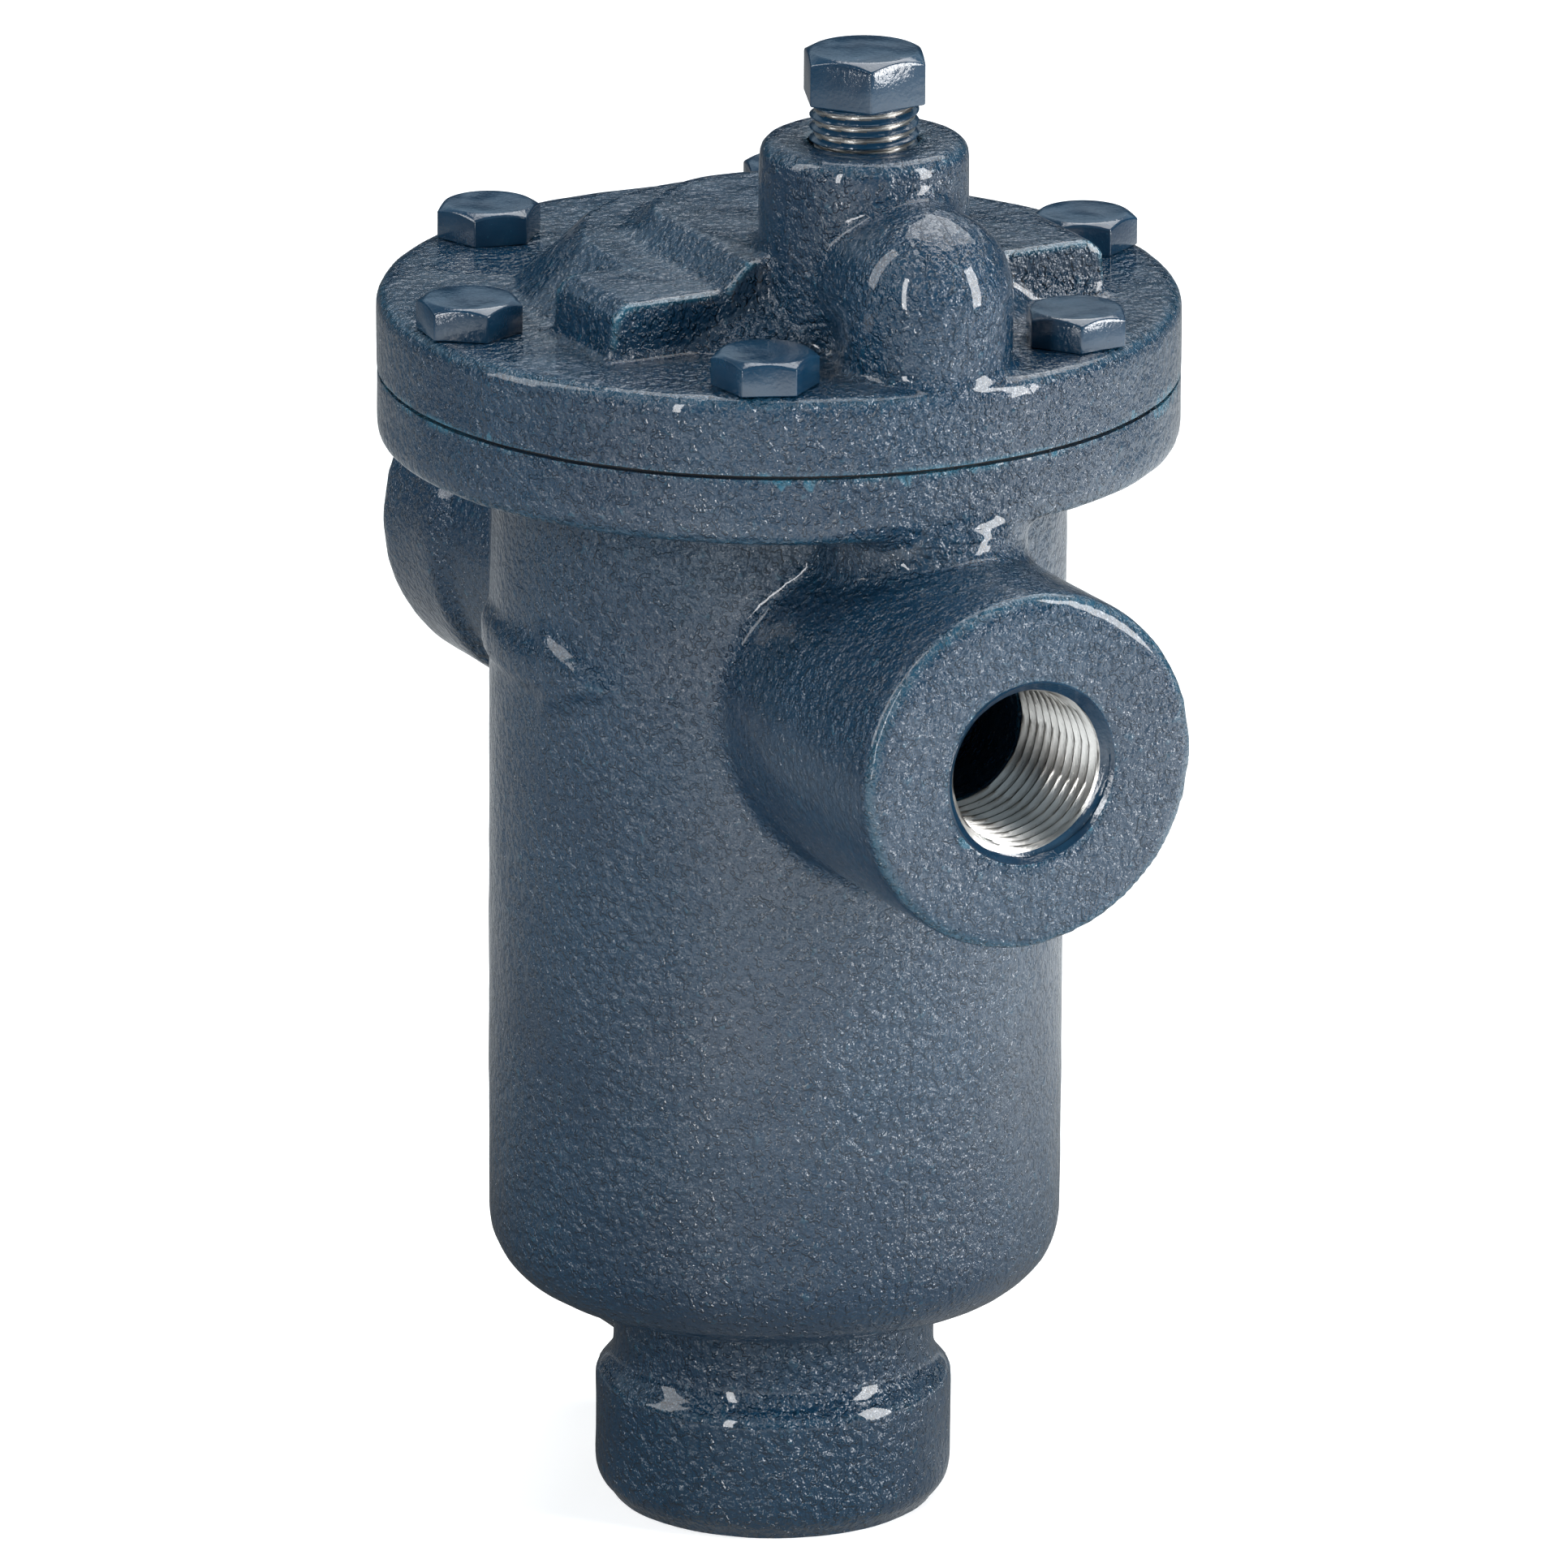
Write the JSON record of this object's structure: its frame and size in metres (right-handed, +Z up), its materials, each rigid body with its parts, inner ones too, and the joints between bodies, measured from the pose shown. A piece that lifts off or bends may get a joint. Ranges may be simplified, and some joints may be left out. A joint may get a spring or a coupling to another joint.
{
  "type": "steam trap",
  "caption": "Inverted-bucket steam trap: cast vessel with bolted cap, threaded inlet and outlet in line, strainer boss below, and a lever, valve and bucket inside.",
  "frame": {"origin": "middle of the strainer boss's lower face, which the trap stands on", "axes": "+Z up along the vessel's axis, +X towards the outlet, -X towards the inlet"},
  "size_m": [0.127, 0.0952, 0.1845],
  "materials": {
    "cast_paint": "blue gloss enamel over rough sand-cast iron",
    "fastener_paint": "the same blue gloss enamel over smooth steel",
    "bright_steel": "bare stainless steel",
    "dull_steel": "dull pressed stainless steel",
    "gasket_sheet": "matt dark compressed sheet"
  },
  "bodies": {
    "trap": {"body": "cast_paint", "cap": "cast_paint", "strainer_plug": "cast_paint", "cap_screws": "fastener_paint", "test_plug": "fastener_paint", "valve_seat": "bright_steel", "guide_pins": "bright_steel", "guide_screws": "bright_steel", "inlet_tube": "bright_steel", "strainer_screen": "bright_steel", "blowdown_plug": "bright_steel", "guide_plate": "dull_steel", "guide_washers": "dull_steel", "cap_gasket": "gasket_sheet", "strainer_gasket": "gasket_sheet"},
    "lever": {"lever": "dull_steel", "valve": "bright_steel", "valve_retainer": "dull_steel"},
    "bucket": {"bucket": "bright_steel", "bucket_clip": "dull_steel", "clip_rivets": "bright_steel"}
  },
  "joints": [
    {"name": "lever_pivot", "type": "hinge", "parent": "trap", "child": "lever", "pos_m": [0.0255, 0, 0.14], "axis": [0, 1, 0], "range_deg": [0, 10]},
    {"name": "bucket_hang", "type": "hinge", "parent": "lever", "child": "bucket", "pos_m": [0, 0, 0.1339], "axis": [0, 1, 0], "range_deg": [-10, 0]}
  ],
  "couplings": [
    {"joint": "bucket_hang", "follows": "lever_pivot", "ratio": -1}
  ]
}
